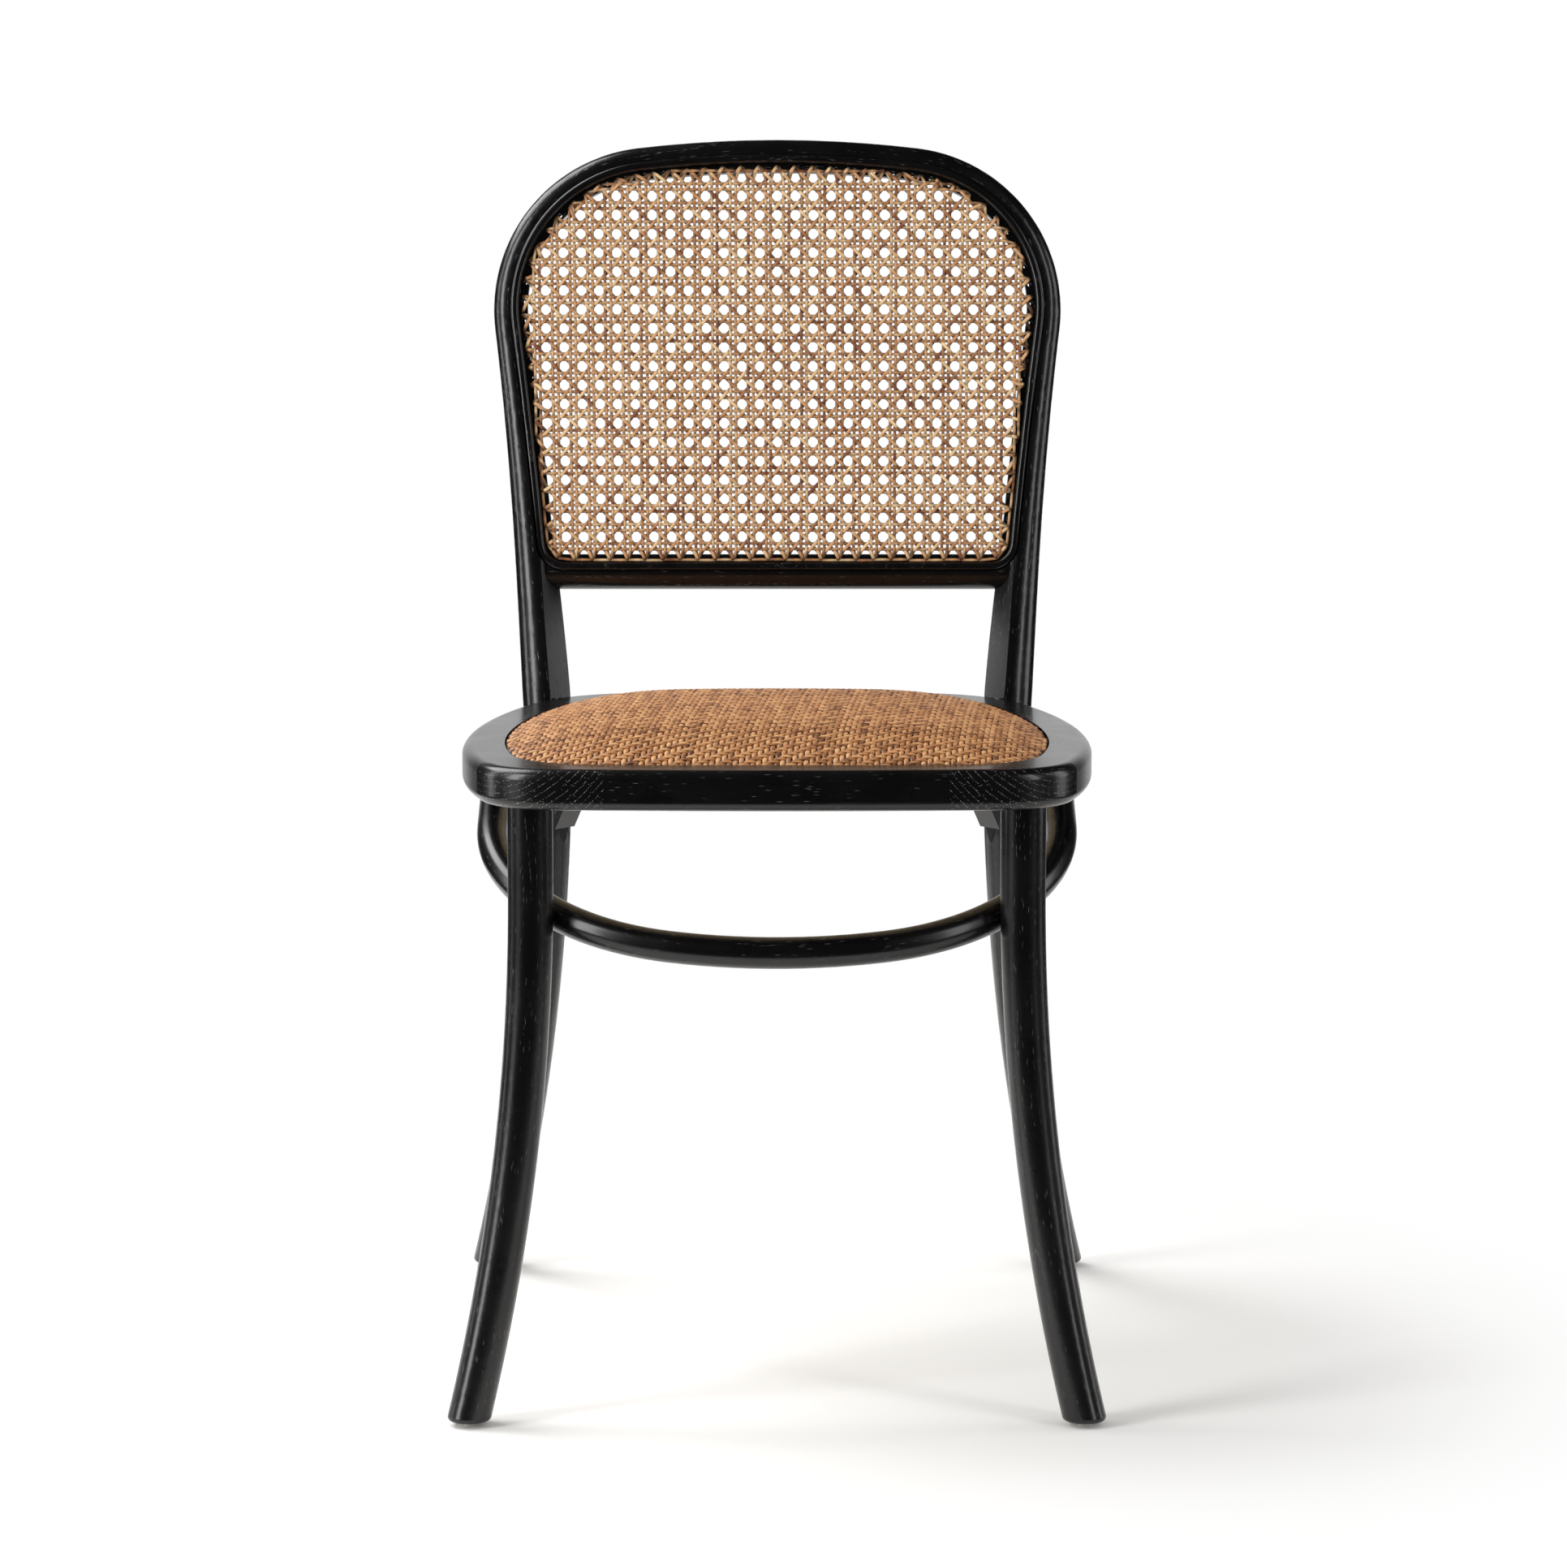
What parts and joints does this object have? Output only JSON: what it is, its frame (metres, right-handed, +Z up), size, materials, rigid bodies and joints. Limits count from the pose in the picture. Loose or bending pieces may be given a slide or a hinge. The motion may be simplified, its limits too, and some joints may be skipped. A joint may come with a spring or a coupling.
{
  "type": "chair",
  "caption": "Bentwood dining chair with a black stained frame, a caned back panel and a crowned woven cane drop-in seat.",
  "frame": {"origin": "On the floor at z = 0, at the middle of the chair's plan size.", "axes": "+Z up, the sitter faces -Y, +X to the right as seen from the front in the picture."},
  "size_m": [0.4746, 0.4966, 0.8739],
  "materials": {
    "black_wood": "black stained ash with a low satin lacquer",
    "raw_wood": "unfinished birch plywood and beech dowels",
    "natural_cane": "natural rattan cane, split and open woven",
    "woven_cane": "honey coloured rattan, closely woven",
    "foam": "upholstery foam",
    "glide_plastic": "pale grey-beige glide",
    "steel": "zinc plated steel"
  },
  "bodies": {
    "root": {"back_hoop": "black_wood", "lower_back_rail": "black_wood", "cane_frame": "black_wood", "back_cane": "natural_cane", "seat_front_rail": "black_wood", "seat_rear_rail": "black_wood", "seat_side_rail_left": "black_wood", "seat_side_rail_right": "black_wood", "ring_dowels": "raw_wood", "seat_board": "raw_wood", "seat_pad": "foam", "seat_weave": "woven_cane", "front_leg_left": "black_wood", "front_leg_right": "black_wood", "leg_hoop": "black_wood", "corner_block_left": "black_wood", "corner_block_right": "black_wood", "floor_glides": "glide_plastic", "seat_board_screws": "steel", "cane_frame_screws": "steel", "hoop_leg_screws": "steel", "hoop_ring_screws": "steel", "rear_post_bolts": "steel", "rear_post_washers": "steel", "rear_post_nuts": "steel"}
  },
  "joints": []
}
